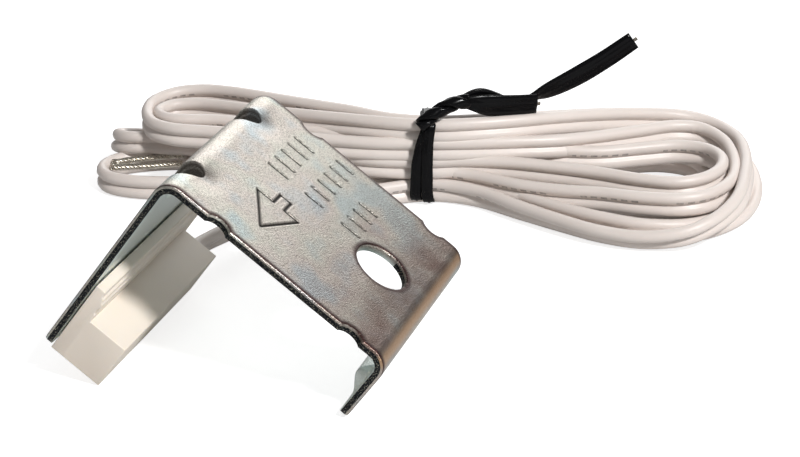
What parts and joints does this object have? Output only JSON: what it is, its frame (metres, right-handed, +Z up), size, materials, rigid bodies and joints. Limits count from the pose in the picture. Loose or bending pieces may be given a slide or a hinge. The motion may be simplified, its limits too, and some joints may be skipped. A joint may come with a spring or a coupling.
{
  "type": "door position sensor",
  "caption": "Zinc-plated sheet-steel rail clip with a magnetic reed switch moulded block in its long leg and a flat two-core lead tied in a hank.",
  "frame": {"origin": "centre of the clip and sensor's box, on the surface it lies on", "axes": "+X across the rail towards the short leg, +Y along the rail towards the cord, +Z up; the clip lies tipped on the block's edge and the short leg's end"},
  "size_m": [0.0866, 0.0878, 0.0251],
  "materials": {
    "zinc_plate": "bright passivated zinc plate with a faint blue and yellow tint over rolled steel",
    "ivory_nylon": "natural ivory moulded nylon, satin, slightly translucent",
    "foam_pad": "grey foam adhesive pad",
    "epoxy": "cured amber-white potting compound",
    "reed_glass": "clear green-tinted glass",
    "reed_alloy": "tinned nickel-iron",
    "tinned_copper": "tinned copper strands and solder",
    "white_pvc": "soft white cable PVC with a low sheen",
    "black_pvc": "glossy black plastic ribbon",
    "tie_wire": "soft iron wire"
  },
  "bodies": {
    "sensor": {"rail_clip": "zinc_plate", "sensor_housing": "ivory_nylon", "mounting_pad": "foam_pad", "end_seal": "epoxy", "reed_capsule": "reed_glass", "front_lead": "reed_alloy", "rear_lead": "reed_alloy", "upper_solder_sleeve": "tinned_copper", "lower_solder_sleeve": "tinned_copper", "upper_conductor": "tinned_copper", "lower_conductor": "tinned_copper", "upper_core": "white_pvc", "lower_core": "white_pvc", "hank": "white_pvc", "lead": "white_pvc", "upper_stripped_end": "tinned_copper", "lower_stripped_end": "tinned_copper", "twist_tie": "black_pvc", "short_tail_wire": "tie_wire", "long_tail_wire": "tie_wire"},
    "front_reed": {"front_blade": "reed_alloy"},
    "rear_reed": {"rear_blade": "reed_alloy"}
  },
  "joints": [
    {"name": "front_reed_bend", "type": "hinge", "parent": "sensor", "child": "front_reed", "pos_m": [-0.01361, -0.00885, 0.00457], "axis": [0.7998, 0, -0.6003], "range_deg": [0, 1.9], "stiffness_Nm_per_rad": 0.0001},
    {"name": "rear_reed_bend", "type": "hinge", "parent": "sensor", "child": "rear_reed", "pos_m": [-0.01333, -0.00135, 0.00493], "axis": [0.7998, 0, -0.6003], "range_deg": [0, 1.9], "stiffness_Nm_per_rad": 0.0001}
  ],
  "couplings": [
    {"joint": "rear_reed_bend", "follows": "front_reed_bend", "ratio": 1}
  ]
}
